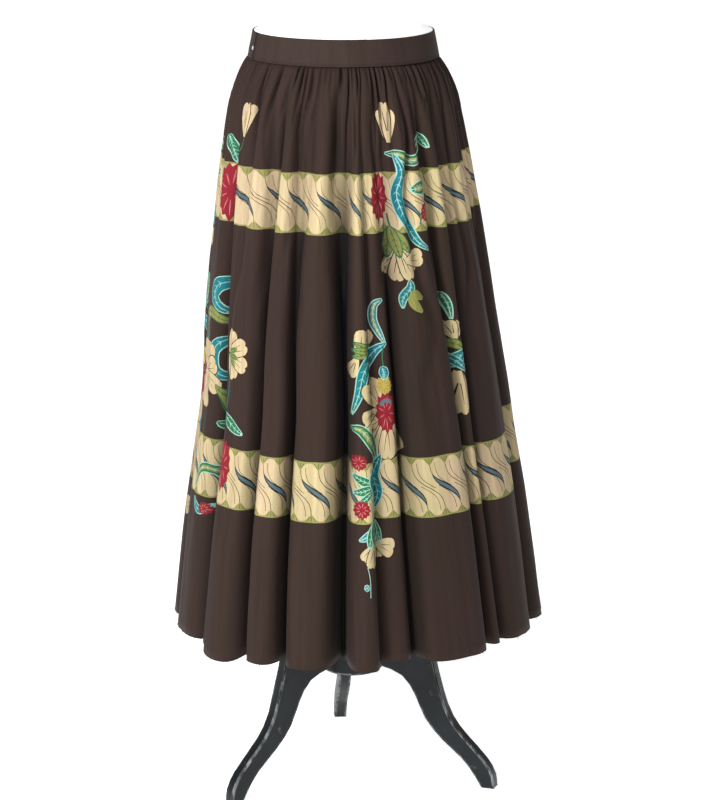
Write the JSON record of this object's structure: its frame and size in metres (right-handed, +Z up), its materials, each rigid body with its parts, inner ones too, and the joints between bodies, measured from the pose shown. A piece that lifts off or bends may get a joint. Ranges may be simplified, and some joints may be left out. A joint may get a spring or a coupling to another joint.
{
  "type": "wrap skirt on a waist-down dress form",
  "caption": "Long gathered wrap skirt in printed brown cotton with a plain waistband, worn by a closed hip form on a wooden tripod stand.",
  "frame": {"origin": "on the floor under the middle of the whole object's box", "axes": "+Z up along the pole, -Y to the front of the skirt, +X to the viewer's right"},
  "size_m": [0.5069, 0.4894, 1.055],
  "materials": {
    "printed_cotton": "matt wax-printed cotton with a faint sheen",
    "band_cotton": "matt plain cotton",
    "nickel": "satin nickel",
    "white_jersey": "matt fine jersey",
    "black_paint": "worn satin black paint on wood"
  },
  "bodies": {
    "root": {"front_panel": "printed_cotton", "back_panel": "printed_cotton", "under_wrap_panel": "printed_cotton", "waistband": "band_cotton", "hook": "nickel", "bar": "nickel", "skirt_form": "white_jersey", "pole": "black_paint", "hub": "black_paint", "leg_1": "black_paint", "leg_2": "black_paint", "leg_3": "black_paint"}
  },
  "joints": []
}
